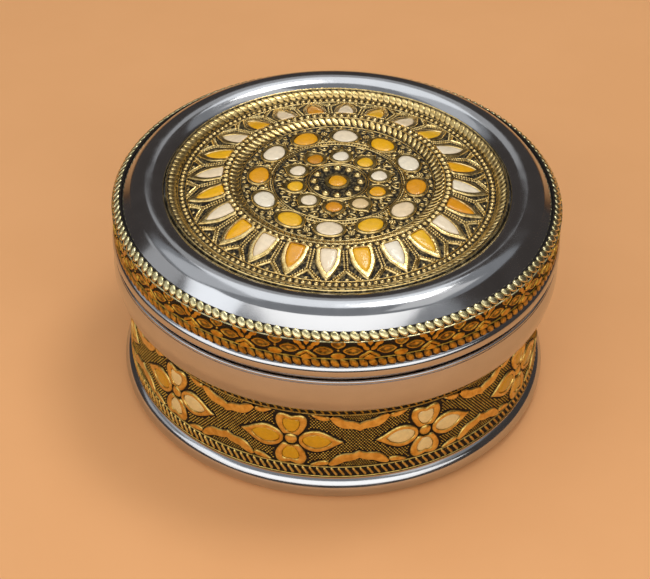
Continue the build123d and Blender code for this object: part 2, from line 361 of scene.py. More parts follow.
def relief(name, surface, shape, directions, material):
    """Copies of a shape on a surface, in directions in degrees."""
    points, quads, triangles, wear_and_shade = shape
    angle, radius, level = surface.place(points)
    turns = np.radians(directions)[:, None]
    turned = angle + turns
    around = np.stack([radius * np.cos(turned), radius * np.sin(turned), level + 0 * turns], 2)
    shift = (np.arange(len(turns)) * len(points))[:, None, None]
    faces = (quads + shift).reshape(-1, 4).tolist() + (triangles + shift).reshape(-1, 3).tolist()
    tone = np.repeat(random.random(len(turns)), len(points))
    return new_piece(name, around.reshape(-1, 3), faces, material, np.tile(wear_and_shade, len(turns)), tone)


def laid(surface, *rows):
    """Relief pieces on one surface, from rows of name, shape, directions and material."""
    return [relief(name, surface, *row) for name, *row in rows]


def lathe(name, points, material, wear_and_shade=0.0, closed=False, segments=240):
    """Turned piece from an outline of (radius, height), which runs counter-clockwise round the metal."""
    turns = np.arange(segments) * 2 * np.pi / segments
    spots = []
    rings = []
    for radius, level in points:
        start = len(spots)
        if radius < 1e-6:
            spots.append((0, 0, level))
            rings.append([start] * segments)
        else:
            spots.extend(zip(radius * np.cos(turns), radius * np.sin(turns), [level] * segments))
            rings.append(list(range(start, start + segments)))
    pairs = list(zip(rings, rings[1:]))
    if closed:
        pairs.append((rings[-1], rings[0]))
    faces = []
    for low, high in pairs:
        for i in range(segments):
            j = (i + 1) % segments
            corners = [low[i], low[j], high[j], high[i]]
            faces.append(list(dict.fromkeys(corners)))
    count = len(spots)
    # a brass piece turned at a low level shows the recess colour all over: patina and painted shade
    return new_piece(name, np.array(spots), faces, material, np.full(count, wear_and_shade), np.full(count, 0.5), 35.0)


# ---- materials
def linear(colour):
    """Colour as the eye reads it, in the shader's linear values."""
    return *[c / 12.92 if c <= 0.04045 else ((c + 0.055) / 1.055)**2.4 for c in colour], 1.0


def brighter(colour, share):
    """Colour with its values multiplied by a share."""
    return tuple(share * c for c in colour[:3]) + (1.0,)


def new_material(name):
    """Material with its tree, its shader and a coordinate in metres fixed to the piece."""
    material = bpy.data.materials.new(name)
    material.use_nodes = True
    tree = material.node_tree
    shader = tree.nodes["Principled BSDF"]
    place = tree.nodes.new("ShaderNodeTexCoord").outputs["Object"]
    return material, tree, shader, place


def noise(tree, place, size, detail=2.0):
    """Soft noise with features about size millimetres across."""
    node = tree.nodes.new("ShaderNodeTexNoise")
    node.inputs["Scale"].default_value = 1 / (size * MM)
    node.inputs["Detail"].default_value = detail
    tree.links.new(place, node.inputs["Vector"])
    return node.outputs["Fac"]


def ramp(tree, value, *stops):
    """Colour or grey by a value, from (position, colour) stops."""
    node = tree.nodes.new("ShaderNodeValToRGB")
    tree.links.new(value, node.inputs["Fac"])
    elements = node.color_ramp.elements
    while len(elements) < len(stops):
        elements.new(0.5)
    for element, (position, colour) in zip(elements, stops):
        element.position = position
        element.color = colour if isinstance(colour, tuple) else (colour, colour, colour, 1)
    return node.outputs["Color"]


def mixed(tree, share, first, second, mode="MIX"):
    """Colour between two, by a share. Each is a colour or a socket."""
    node = tree.nodes.new("ShaderNodeMix")
    node.data_type = "RGBA"
    node.blend_type = mode
    for key, value in (("Factor", share), ("A", first), ("B", second)):
        socket = [s for s in node.inputs if s.name == key and s.enabled][0]
        if isinstance(value, bpy.types.NodeSocket):
            tree.links.new(value, socket)
        else:
            socket.default_value = value
    return [s for s in node.outputs if s.enabled][0]


def bumped(tree, shader, height, depth):
    """Fine unevenness of a depth in millimetres, on the shader."""
    node = tree.nodes.new("ShaderNodeBump")
    node.inputs["Distance"].default_value = depth * MM
    tree.links.new(height, node.inputs["Height"])
    tree.links.new(node.outputs["Normal"], shader.inputs["Normal"])


def attribute(tree, key):
    """Value stored on the mesh's points."""
    node = tree.nodes.new("ShaderNodeAttribute")
    node.attribute_name = key
    return node.outputs["Fac"]


def steel_material(name, colour, smooth, rough):
    """Spun steel with faint wipe marks and unevenness."""
    material, tree, shader, place = new_material(name)
    shader.inputs["Metallic"].default_value = 1.0
    marks = noise(tree, place, 9, 4)
    tint = ramp(tree, marks, (0.3, brighter(linear(colour), 0.93)), (0.7, linear(colour)))
    tree.links.new(tint, shader.inputs["Base Color"])
    tree.links.new(ramp(tree, marks, (0.3, smooth), (0.75, rough)), shader.inputs["Roughness"])
    bumped(tree, shader, noise(tree, place, 14, 1), 0.08)
    return material


def brass(name, worn, shade, recess, smooth):
    """Pressed brass, bright where wear has rubbed it, and dark in the recesses with patina and painted
    shade.
    """
    material, tree, shader, place = new_material(name)
    # level of wear and painted shade: low values give the recess colour, which is patina and painted shade
    wear_and_shade = attribute(tree, "wear_and_shade")
    mottle = noise(tree, place, 2.2, 4)
    metal = ramp(tree, mottle, (0.3, linear(shade)), (0.65, linear(worn)))
    dark = linear(recess)
    grain = ramp(tree, noise(tree, place, 0.7, 3), (0.35, dark), (0.75, brighter(dark, 2.2)))
    blotch = tree.nodes.new("ShaderNodeMath")
    blotch.operation = "MULTIPLY_ADD"
    blotch.inputs[1].default_value = 0.7
    tree.links.new(noise(tree, place, 1.1, 3), blotch.inputs[0])
    tree.links.new(wear_and_shade, blotch.inputs[2])
    share = ramp(tree, blotch.outputs["Value"], (0.45, 0.0), (1.0, 1.0))
    tree.links.new(mixed(tree, share, grain, metal), shader.inputs["Base Color"])
    tree.links.new(ramp(tree, wear_and_shade, (0.0, 0.35), (0.6, 1.0)), shader.inputs["Metallic"])
    tree.links.new(ramp(tree, wear_and_shade, (0.0, 0.65), (0.8, smooth)), shader.inputs["Roughness"])
    bumped(tree, shader, noise(tree, place, 0.9, 3), 0.12)
    return material


def enamel(name, deep, colour, pale, rough):
    """Poured enamel: glossy, slightly uneven, its tone differing a little from one filling to the next."""
    material, tree, shader, place = new_material(name)
    tone = attribute(tree, "tone")
    base = ramp(tree, tone, (0.0, linear(deep)), (0.5, linear(colour)), (1.0, linear(pale)))
    streaks = ramp(tree, noise(tree, place, 2.4, 4), (0.35, 0.9), (0.6, 1.0))
    tree.links.new(mixed(tree, 1.0, base, streaks, "MULTIPLY"), shader.inputs["Base Color"])
    shader.inputs["Roughness"].default_value = rough
    shader.inputs["Coat Weight"].default_value = 0.3
    shader.inputs["Coat Roughness"].default_value = 0.12
    bumped(tree, shader, noise(tree, place, 2.0, 2), 0.25)
    return material


def floor_material():
    """Plain warm backdrop paper."""
    material, tree, shader, place = new_material("floor")
    shade = noise(tree, place, 60, 3)
    paper = ramp(tree, shade, (0.35, linear((0.97, 0.71, 0.475))), (0.65, linear((0.98, 0.72, 0.485))))
    tree.links.new(paper, shader.inputs["Base Color"])
    shader.inputs["Roughness"].default_value = 0.7
    shader.inputs["Specular IOR Level"].default_value = 0.2
    return material


steel = steel_material("steel_polished", (0.765, 0.765, 0.77), 0.10, 0.18)
tray_steel = steel_material("tray_steel", (0.84, 0.85, 0.86), 0.24, 0.34)
pale_brass = brass("brass_pale", (0.98, 0.87, 0.61), (0.76, 0.63, 0.36), (0.06, 0.04, 0.015), 0.25)
rope_brass = brass("brass_rope", (0.94, 0.89, 0.70), (0.78, 0.72, 0.50), (0.10, 0.08, 0.03), 0.26)
gold_brass = brass("brass_gold", (0.92, 0.80, 0.46), (0.80, 0.64, 0.30), (0.05, 0.03, 0.01), 0.34)
skirt_brass = brass("brass_skirt", (0.84, 0.68, 0.28), (0.64, 0.47, 0.16), (0.08, 0.045, 0.012), 0.36)
# frames of darker, duller brass: patina, with painted shade in place of the dark reflections they show
patina_and_shade_brass = brass("brass_patina_and_shade", (0.60, 0.51, 0.31), (0.40, 0.33, 0.18), (0.08, 0.055, 0.025), 0.42)
enamel_amber = enamel("enamel_amber", (0.92, 0.60, 0.12), (1.0, 0.73, 0.08), (1.0, 0.77, 0.18), 0.2)
enamel_ivory = enamel("enamel_ivory", (0.99, 0.88, 0.71), (1.0, 0.92, 0.79), (1.0, 0.95, 0.85), 0.22)
enamel_peach = enamel("enamel_peach", (0.93, 0.78, 0.55), (0.93, 0.78, 0.55), (0.95, 0.82, 0.60), 0.22)
enamel_honey = enamel("enamel_honey", (0.80, 0.50, 0.04), (0.80, 0.50, 0.04), (0.84, 0.56, 0.06), 0.22)
waist_amber = enamel("waist_amber", (0.80, 0.58, 0.03), (0.85, 0.64, 0.04), (0.89, 0.69, 0.08), 0.3)
waist_ivory = enamel("waist_ivory", (0.88, 0.77, 0.50), (0.92, 0.82, 0.56), (0.95, 0.87, 0.63), 0.3)


# ---- steel
step = 0.1                # small set-off where two stretches of a profile meet


def body_steel():
    """Vessel: floor, wall, belly, bead at the neck and collar."""
    edge = 0.4            # rounding of the floor's edge and of the collar's rim
    ledge = waist_high + ledge_rise
    collar = lid_wall - sheet - collar_play
    bore = collar - sheet
    belly_low = waist_high + belly_rise
    belly_top = belly_low + belly_height
    neck_top = belly_top + neck_height
    floor = body_low + sheet
    outside = [(0, body_low), (wall_low - edge, body_low), (wall_low, body_low + edge)]
    roll = arc((wall_high, waist_high + step), (box_radius - 1.1, belly_low), 1.9, 8)
    belly = arc(roll[-1], (box_radius - 0.8, belly_top), 0.95, 12)
    neck = arc((box_radius - 1.5, belly_top + step), (box_radius - 1.6, neck_top - step), 0.75, 8)
    rim = arc((collar, collar_top - edge), (bore, collar_top - edge), edge, 5)
    inside = [(bore, ledge), (wall_high - sheet, ledge), (wall_low - sheet, floor), (0, floor)]
    return outside + roll + belly + neck + [(collar, neck_top)] + rim + inside


def foot_steel():
    """Rolled foot: it flares out under the waist band, and its roll turns in at the table."""
    sleeve = wall_low + glue
    lip = waist_radius + 0.15  # the upper edge stands out just past the waist band
    middle = foot_radius - foot_roll
    turns = np.radians(np.linspace(-90, 62, 20))
    roll = [(middle + foot_roll * math.cos(t), foot_roll * (1 + math.sin(t))) for t in turns]
    return [(sleeve, ground)] + roll + [(lip, foot_top), (sleeve, foot_top)]


def level_at_end(start, end, count):
    """Round line from start that lies level where it ends."""
    run = np.subtract(end, start)
    chord_slope = math.atan2(abs(run[1]), abs(run[0]))
    return arc(start, end, np.hypot(*run) / 2 * math.tan(chord_slope / 2), count)


def lid_steel():
    """Lid: sheet under the medallion, crown, shoulder, wall and rolled hem."""
    band_gap = 0.4        # between the hem's roll and the brass band
    seat = medallion_low - glue
    wall_top = skirt_top - band_inset
    hem = arc((lid_wall, hem_low + step), (lid_wall, skirt_low - band_gap), hem_radius - lid_wall, 13)
    shoulder = (lid_wall - rope_width, wall_top + rope_rise)
    crease = (shoulder[0] - shoulder_width, shoulder[1] + shoulder_rise)
    top = (recess_radius + crown_in, crown_top)
    rise = level_at_end(crease, top, 22)
    mirrored = level_at_end((-recess_radius, recess_top), (-top[0], crown_top), 20)
    fall = [(-x, z) for x, z in reversed(mirrored)]
    under_crown = crown_top - 1.9
    inside = [
        (recess_radius, seat - sheet),
        (recess_radius + 0.5 * crown_in, under_crown),
        (recess_radius + 1.5 * crown_in, under_crown),
        (crease[0], crease[1] - sheet),
        (lid_wall - sheet, wall_top - sheet),
        (lid_wall - sheet, hem_low),
    ]
    outside = [(lid_wall, wall_top), shoulder, crease] + rise[1:] + fall[1:]
    return [(0, seat - sheet)] + inside + hem + outside + [(recess_radius, seat), (0, seat)]


# ---- waist band
waist = Surface([(waist_radius - sink, waist_low), (waist_radius - waist_draw - sink, waist_high)])
flower_level = 18.15      # levels over the band's lower edge: centre of the flowers
field_low = 5.8           # stippled field between the two ropes
field_high = 31.5
field_edges = ((1, field_high), (-1, field_low))
low_rope_level = 2.75
high_rope_level = 33.3
line_rounds = [           # fine lines, as (level, width, height)
    (31.8, 0.45, 0.6), (5.3, 0.5, 0.6), (0.25, 0.4, 0.3), (36.0, 0.35, 0.3),
]
half_pitch = math.pi * (waist_radius - sink) / flower_count

# right or upper halves of the flower's petals and of the enamel in them, from the flower's centre
leaf_half = [
    (20.6, 0), (17.6, 1.7), (14.2, 3.9), (11.0, 5.2), (8.3, 5.1), (5.4, 3.9), (3.4, 1.8), (3.0, 0),
]
leaf_fill = [(15.9, 0), (14.2, 1.9), (11.6, 3.1), (9.2, 3.3), (6.6, 2.6), (4.9, 1.2), (4.5, 0)]
heart_half = [
    (0, 11.4), (1.7, 12.0), (3.8, 12.4), (5.5, 11.5), (6.3, 9.2), (6.0, 7.2), (4.9, 4.8), (2.9, 2.3),
    (1.2, 2.95), (0, 3.1),
]
heart_fill = [(0, 9.7), (1.6, 10.1), (3.0, 9.6), (3.4, 8.2), (3.0, 6.2), (1.7, 4.2), (0.6, 3.5), (0, 3.4)]

# right half of a bracket and the leaf beside it, as (along, down from the field's edge)
bracket_out = [
    (0, 8.1), (1.3, 7.3), (2.9, 6.8), (5.2, 6.7), (7.4, 6.2), (9.3, 5.0), (10.8, 3.2), (11.9, 1.2),
]
bracket_in = [
    (0, 4.0), (1.2, 3.3), (2.6, 2.8), (4.2, 2.5), (5.6, 2.2), (6.8, 1.5), (8.4, 0.8), (10.6, 0.4),
]
bracket_leaf = [
    (11.6, 2.0), (12.9, 2.9), (15.0, 2.7), (17.2, 1.7), (19.2, 0.1), (16.5, 0.15), (13.9, 0.6), (12.2, 0.7),
]


def lying(half, count):
    """Outline pointed along +X, from its upper half."""
    edge = outline([(y, x) for x, y in half], count)
    return edge[:, ::-1]


def flower():
    """Four-petalled flower with a button in the middle."""
    leaf = bezel(lying(leaf_half, 44), lying(leaf_fill, 44), 0.85, 0.4)
    heart = bezel(outline(heart_half, 48), outline(heart_fill, 48), 0.85, 0.4)
    button = bead(2.55, 2.5, 0.95, 20)
    return joined(leaf, at(leaf, 0, 0, 180), heart, at(heart, 0, 0, 180), button)


def flower_fill(petals="lrud"):
    """Enamel in some of the flower's petals: left, right, up and down."""
    leaf = dome(lying(leaf_fill, 30), 0.45, 0.75)
    heart = dome(outline(heart_fill, 30), 0.45, 0.75)
    parts = {"r": leaf, "l": at(leaf, 0, 0, 180), "u": heart, "d": at(heart, 0, 0, 180)}
    return at(joined(*[parts[p] for p in petals]), 0, flower_level)


def bracket():
    """Scalloped bracket on the field's upper edge, between two flowers, with a leaf at each side."""
    shapes = []
    for side in (1, -1):
        outer = curve(bracket_out, 15) * (side, -1)
        inner = curve(bracket_in, 15) * (side, -1)
        loops = [outer + (inner - outer) * share for share in (0, 0.1, 0.5, 0.9, 1)]
        shapes.append(loft(loops, [0, 0.75, 0.85, 0.75, 0], [0, 0.9, 1, 0.9, 0], closed=False))
        shapes.append(pillow(curve(bracket_leaf, 22, closed=True) * (side, -1), 0.75, 0.8))
    return joined(*shapes)


def within(points, loop):
    """Which points lie inside a closed loop."""
    x, y = points[:, 0][:, None], points[:, 1][:, None]
    x1, y1 = loop.T
    x2, y2 = np.roll(loop, -1, 0).T
    crosses = (y1 > y) != (y2 > y)
    where = x1 + (y - y1) * (x2 - x1) / np.where(y1 == y2, 1e-9, y2 - y1)
    return (crosses & (x < where)).sum(1) % 2 == 1


def field_grid():
    """Diagonal grid of spots over one flower's stretch of the field."""
    columns = 42
    rise = 0.78
    pitch = half_pitch * 2 / columns
    spots = []
    for row in range(int((field_high - field_low) / rise)):
        for column in range(columns):
            along = column + 0.5 * (row % 2)
            spots.append((-half_pitch + along * pitch, field_low + (row + 0.5) * rise))
    return np.array(spots)


def under_flower(spots):
    """Which spots the flower covers."""
    centre = np.array((0, flower_level))
    button_reach = 4.4
    covered = np.hypot(*(spots - centre).T) < button_reach
    for edge in (lying(leaf_half, 44), outline(heart_half, 48)):
        for side in (1, -1):
            covered |= within(spots, shrunk(edge * side, 1.16) + centre)
    return covered


def under_brackets(spots):
    """Which spots the brackets and their leaves cover."""
    round_leaf = [(14.7, 3.4), (17.5, 2.4), (19.6, 0.6), (19.6, -1), (0, -1)]
    whole = np.vstack([curve(bracket_out, 15) * (1, 1.06), round_leaf])
    covered = np.zeros(len(spots), bool)
    for across in (1, -1):
        for up, edge in field_edges:
            covered |= within(spots, whole * (-across, -up) + (across * half_pitch, edge))
    return covered


def panel_spots():
    """Spots of the finer grid inside the brackets."""
    spots = []
    margin = 0.5
    for up, edge in field_edges:
        for row in range(4):
            for step in range(-7, 8):
                x = (step + 0.5 * (row % 2)) * 0.95
                depth = 0.45 + row * 0.75
                if depth < np.interp(abs(x), *np.array(bracket_in).T) - margin:
                    spots.append((half_pitch + x, edge - up * depth))
    return spots


def stippled_ground():
    """Small studs on the field, clear of the flowers and brackets, and finer ones inside the brackets."""
    spots = field_grid()
    spots = spots[~(under_flower(spots) | under_brackets(spots))]
    field = [at(stud(0.5, 0.3, 0.42), x, y) for x, y in spots]
    panels = [at(stud(0.36, 0.28, 0.3), x, y) for x, y in panel_spots()]
    return joined(*field, *panels)


def strand(length, width, lean, height=0.7):
    """One strand of a twisted rope."""
    half = length / 2
    bends = [(-lean / 2, half), (-lean / 4, half * 0.45), (lean / 4, -half * 0.45), (lean / 2, -half)]
    return ridge(curve(bends, 9), width, height)


def line_round(surface, level, width, height, count=240):
    """Thin raised line all round a band at a level, or round a disc at a distance from its axis."""
    turns = np.arange(count) * 2 * np.pi / count
    if surface.disc:
        circle = np.stack([level * np.sin(turns), -level * np.cos(turns)], 1)
        return ridge(circle, width, height, closed=True)
    path = np.stack([turns * surface.outline[0, 0], np.full(count, level)], 1)
    loops = [path + (0, width * k) for k in (-0.5, -0.3, 0, 0.3, 0.5)]
    return loft(loops, [0, height * 0.75, height, height * 0.75, 0], [0, 0.8, 1, 0.8, 0])


# ---- lid band
skirt = Surface([(skirt_radius - sink, skirt_low), (skirt_radius - sink, skirt_top)])
fold = arc((skirt_radius - 0.1, skirt_top), (skirt_radius - rope_width, rope_top), 0.1, 9)
shoulder_rope = Surface(fold)
motif_level = 7.8         # levels over the band's lower edge: middle of the flowers
growth_level = 7.9        # level that the motifs are drawn out about
border_level = 1.85
border_line = 3.95
rope_line = 12.0


def skirt_flower():
    """Small flower of four pointed petals on the skirt."""
    side = outline([(0, 3.6), (1.2, 2.2), (1.75, 0.4), (1.3, -1.6), (0, -3.2)], 22)
    side = side[:, ::-1] * (1, -1)
    upper = outline([(0, -1.7), (1.8, -0.7), (2.5, 0.5), (1.8, 1.6), (0, 2.0)], 22)
    lower = outline([(0, 1.3), (1.7, 0.8), (2.5, -0.2), (1.5, -1.1), (0, -1.4)], 22)
    return joined(
        at(dished(side, 0.6, 0.72, 0.3), 4.5, motif_level),
        at(dished(side * (-1, 1), 0.6, 0.72, 0.3), -4.5, motif_level),
        at(dished(upper, 0.6, 0.7, 0.35), 0, motif_level + 2.5),
        at(pillow(lower, 0.6), 0, motif_level - 2.1),
        at(bead(0.5, 0.5, 0.5), 0, motif_level),
    )


def skirt_garland():
    """Leaves hanging in a V between two flowers, over a double arch."""
    leaf = oval(1.35, 0.8, 14)
    arch = curve([(-3.6, 4.3), (-2.6, 5.3), (-1.2, 6.2), (0, 7.0), (1.2, 6.2), (2.6, 5.3), (3.6, 4.3)], 21)
    fan = outline([(0, 1.3), (1.6, 0.2), (1.8, -0.9), (0, -1.0)], 16)
    drop = outline([(0, -1.2), (0.9, 0.0), (1.0, 0.9), (0, 1.3)], 14)
    shapes = [ridge(arch, 1.3, 0.65), at(pillow(fan, 0.6), 0, 4.9), at(pillow(drop, 0.6), 0, 10.9)]
    for side in (1, -1):
        shapes += [
            at(pillow(leaf, 0.6), side * 2.4, 10.4, side * 48),
            at(pillow(leaf, 0.6), side * 1.3, 8.8, side * 35),
            at(pillow(leaf, 0.55), side * 3.6, 11.2, side * 70),
            at(bead(0.4, 0.4, 0.45), side * 2.6, 7.4),
        ]
    return joined(*shapes)


def laurel():
    """Slanted leaf of the skirt's lower border."""
    leaf = outline([(0, 2.7), (1.2, 1.2), (1.4, -0.7), (0, -2.6)], 16)
    return at(pillow(leaf, 0.65, 0.8, 0.5), 0, border_level, 40)


def rope_bead():
    """Leaning oval bead of the rope border, with a small leaf over it."""
    sizes = [(2.3, 1.5), (2.15, 1.38), (1.7, 1.0), (0.9, 0.45)]
    loops = [oval(half_x, half_y, 18) for half_x, half_y in sizes]
    oval_bead = loft(loops, [-0.1, 0.3, 0.52, 0.6], [0, 0.7, 1, 1], cap=0.62)
    small = at(bead(1.2, 0.5, 0.4, 10), -0.6, 3.7, -58)
    return joined(at(oval_bead, 0, 1.8, -44), small)


# ---- medallion
border_low = medallion_radius - rim_width
cone_low = border_low - track_width
cone_high = cone_low - cone_width
crest_inner = cone_high - crest_width
disc_radius = crest_inner - slope_width
rim_line = arc((medallion_radius, medallion_low + rim_thickness), (border_low, track_level), 0.9, 9)
zones = [
    (cone_low, track_level), (cone_high, crest_level), (crest_inner, crest_level),
    (disc_radius, disc_level), (0, disc_level),
]
medallion = Surface(rim_line + zones, disc=True)

drop_order = "apaiaihiai"  # enamel of the drops in turn: amber, peach, ivory or honey

# distances from the axis to the middle of each ring of the pattern
border_middle = 65.3
track_middle = 61.75
crest_middle = 44.2
slope_middle = 40.7
oval_middle = 31.3
dots_middle = 26.5
drop_middle = 17.1
hub_beads_middle = 9.2
medallion_rounds = [      # fine lines, as (distance from the axis, width)
    (63.4, 0.6), (60.0, 0.5), (42.6, 0.5), (38.4, 0.5), (27.4, 0.5), (25.6, 0.5), (12.4, 0.5), (11.4, 0.6),
    (67.6, 0.7),
]


def out(points):
    """Points of the medallion drawn as (x, distance from the axis)."""
    return [(x, -y) for x, y in points]


# right halves of a petal's bezel and of its enamel, as (across, distance from the axis)
petal_edge = [
    (0, 60.0), (1.6, 58.0), (3.3, 55.2), (4.5, 52.6), (4.8, 50.5), (4.75, 47.5), (4.6, 45.3), (0, 45.1),
]
petal_fill = [
    (0, 56.4), (1.1, 55.2), (2.0, 53.6), (2.7, 51.6), (3.15, 49.0), (3.15, 47.3), (2.9, 45.6), (0, 45.4),
]

# and of an inner drop
drop_edge = [
    (0, 23.8), (1.0, 22.2), (2.8, 21.0), (4.4, 18.9), (4.7, 16.6), (3.6, 13.9), (1.7, 12.9), (0, 12.7),
]
drop_fill = [(0, 20.3), (2.2, 19.5), (3.2, 17.2), (2.3, 14.9), (0, 14.0)]


def petal_bezel():
    """Pointed bezel of one petal."""
    return bezel(outline(out(petal_edge), 48), outline(out(petal_fill), 48), 0.8, 0.35)


def petal_dome():
    """Enamel of one petal."""
    return dome(outline(out(petal_fill), 32), 0.4, 0.85)


def petal_gap():
    """Between two petals: a double row of beads that parts round a bold chevron."""
    spots = [(side * 0.62, -r) for side in (1, -1) for r in np.arange(46.4, 54.9, 1.02)]
    for side in (1, -1):
        for share in np.linspace(0, 1, 7):
            spots.append((side * (1.1 + share * 4.7), -(55.4 + share * 4.0)))
    leg = curve(out([(-4.2, 59.5), (-2.1, 57.6), (0, 55.7)]), 9)
    legs = np.vstack([leg, (leg[:-1] * (-1, 1))[::-1]])
    chevron = ridge(legs, 1.3, 0.8)
    heel = [at(bead(0.95, 0.65, 0.75), side * 3.9, -59.3) for side in (1, -1)]
    knob = at(bead(0.8, 0.6, 0.4), 0, -59.0)
    return joined(beads(spots, 0.5, 0.55, 7), chevron, *heel, knob)


def border_rib():
    """Slanted rib of the border's rope."""
    corners = [(-1.25, 1.5), (0.6, 1.5), (1.55, 0.2), (1.25, -1.5), (-0.6, -1.5), (-1.55, -0.2)]
    rib = curve(corners, 18, closed=True)
    slant = np.array([[1, 0], [-0.42, 1]])
    return at(pillow(rib @ slant, 0.32, 0.86, 0.62), 0, -border_middle)


def slope_leaf():
    """Slanted leaf on the slope inside the crest."""
    leaf = outline([(0, 2.6), (0.85, 1.2), (0.95, -0.9), (0, -2.6)], 16)
    return at(pillow(leaf, 0.6, 0.8), 0, -slope_middle, 38)


def blob(half_x, half_y, seed, count=28):
    """Uneven oval, as filled by hand."""
    turn = np.arange(count) * 2 * np.pi / count
    wave = 1 + 0.05 * np.sin(2 * turn + seed) + 0.045 * np.sin(3 * turn + 2.3 * seed)
    return oval(half_x, half_y, count) * wave[:, None]


def rosette():
    """Small flower of seven beads round a larger one."""
    return joined(beads(oval(1.05, 1.05, 7), 0.42, 0.5, 7), bead(0.6, 0.6, 0.6))


def curl(size, hand):
    """Small scroll that winds in on itself."""
    sweep = np.linspace(0, 2.5 * np.pi, 15)
    reach = np.linspace(size, size * 0.3, 15)
    return ridge(np.stack([reach * np.cos(sweep) * hand, reach * np.sin(sweep)], 1), 0.55, 0.5)


def at_angle(shape, degrees, distance, turn=0.0):
    """Shape at a direction and a distance from the medallion's middle."""
    angle = math.radians(degrees)
    return at(shape, distance * math.sin(angle), -distance * math.cos(angle), degrees + turn)


def oval_frame():
    """Dull frame of one oval filling near the disc's edge."""
    return at(bezel(oval(6.5, 4.9, 36), oval(5.2, 4.0, 36), 0.75, 0.3), 0, -oval_middle)


def oval_trim():
    """Bright edge of an oval frame, with the scrolls, beads and rosette round it."""
    halfway = 180 / oval_count
    shapes = [
        at(ridge(oval(6.4, 4.8, 40), 0.5, 0.85, closed=True), 0, -oval_middle),
        at_angle(rosette(), halfway, 33.4),
        at_angle(bead(0.9, 1.4, 0.5, 10), halfway, 29.9),
        at_angle(pillow(oval(1.9, 0.6, 14), 0.35, 0.8, 0.6), halfway, 37.4),
    ]
    for side in (1, -1):
        shapes += [
            at_angle(curl(1.15, side), halfway + side * 3.3, 36.2, side * 20),
            at_angle(curl(0.85, -side), halfway + side * 3.0, 28.4, side * 60),
            at_angle(curl(0.75, side), side * 3.4, 37.2, side * 90),
            at_angle(curl(0.75, -side), side * 7.6, 36.8, side * 130),
            at_angle(bead(0.45, 0.45, 0.45), halfway + side * 2.6, 31.6),
        ]
    return joined(*shapes)


def drop_frame():
    """Dull frame of one round filling, pointed outwards."""
    return bezel(outline(out(drop_edge), 36), outline(out(drop_fill), 36), 0.7, 0.3)


def drop_trim():
    """Bright edge of a round frame, with the triangle, scrolls and beads between it and the next."""
    halfway = 180 / drop_count
    triangle = curve([(-2.0, -1.2), (2.0, -1.2), (0, 1.6)], 18, closed=True)
    shapes = [
        ridge(shrunk(outline(out(drop_edge), 44), 0.97), 0.5, 0.8, closed=True),
        at_angle(ridge(triangle, 0.7, 0.55, closed=True), halfway, 23.2),
        at_angle(bead(0.6, 0.6, 0.5), halfway, 23.2),
        at_angle(bead(0.55, 1.0, 0.45), halfway, 19.6),
        at_angle(curl(0.8, 1), halfway, 16.4),
        at_angle(bead(0.5, 0.5, 0.45), halfway, 14.0),
    ]
    for side in (1, -1):
        shapes += [
            at_angle(curl(1.25, side), side * 7.4, 23.2, side * 30),
            at_angle(curl(0.8, -side), halfway - side * 5.2, 20.9, side * 80),
            at_angle(bead(0.4, 0.4, 0.4), halfway - side * 3.6, 17.9),
        ]
    return joined(*shapes)


def hub():
    """Bezel round the enamel in the middle."""
    return bezel(oval(5.2, 5.2, 40), oval(3.6, 3.6, 40), 0.8, 0.35)


# ---- pieces of the box
def waist_pattern():
    """Pattern of the waist band, apart from its enamel."""
    every_flower = spread(flower_count, flower_turn)
    brackets = joined(at(bracket(), 0, field_high), at(upturned(bracket()), 0, field_low))
    high_strand = at(strand(2.6, 0.85, 2.0, 0.6), 0, high_rope_level)
    low_strand = at(strand(4.0, 1.2, 2.5), 0, low_rope_level)
    lines = joined(*[line_round(waist, *line) for line in line_rounds])
    return laid(
        waist,
        ("waist_flowers", at(flower(), 0, flower_level), every_flower, gold_brass),
        ("waist_brackets", brackets, every_flower + 180 / flower_count, gold_brass),
        ("waist_ground", stippled_ground(), every_flower, skirt_brass),
        ("waist_rope_upper", high_strand, spread(high_strand_count), skirt_brass),
        ("waist_rope_lower", low_strand, spread(low_strand_count), gold_brass),
        ("waist_lines", lines, [0], gold_brass),
    )


def waist_enamel():
    """Enamel of the waist flowers. One ivory flower has an amber petal at its left."""
    amber = spread(flower_count // 2, flower_turn)
    *ivory, odd = amber + 360 / flower_count
    return laid(
        waist,
        ("flower_fill_amber", flower_fill(), amber, waist_amber),
        ("flower_fill_ivory", flower_fill(), ivory, waist_ivory),
        ("flower_fill_odd", flower_fill("rud"), [odd], waist_ivory),
        ("flower_fill_odd_leaf", flower_fill("l"), [odd], waist_amber),
    )


body = lathe("box_body", body_steel(), steel)
foot = lathe("box_foot", foot_steel(), steel, closed=True)
waist_sides = [(wall_low + glue, waist_low), *map(tuple, waist.outline), (wall_high + glue, waist_high)]
waist_plate = lathe("waist_plate", waist_sides, gold_brass, closed=True)
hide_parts("body_shell")
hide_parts("foot_ring")
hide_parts("waist_band")

box_pieces = [body, foot, waist_plate, *waist_pattern()]
amber_fill, ivory_fill, *odd_fills = waist_enamel()
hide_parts("flower_enamel_amber")
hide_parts("flower_enamel_ivory")
for piece in (*box_pieces, amber_fill, ivory_fill, *odd_fills):
    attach(piece, "box")


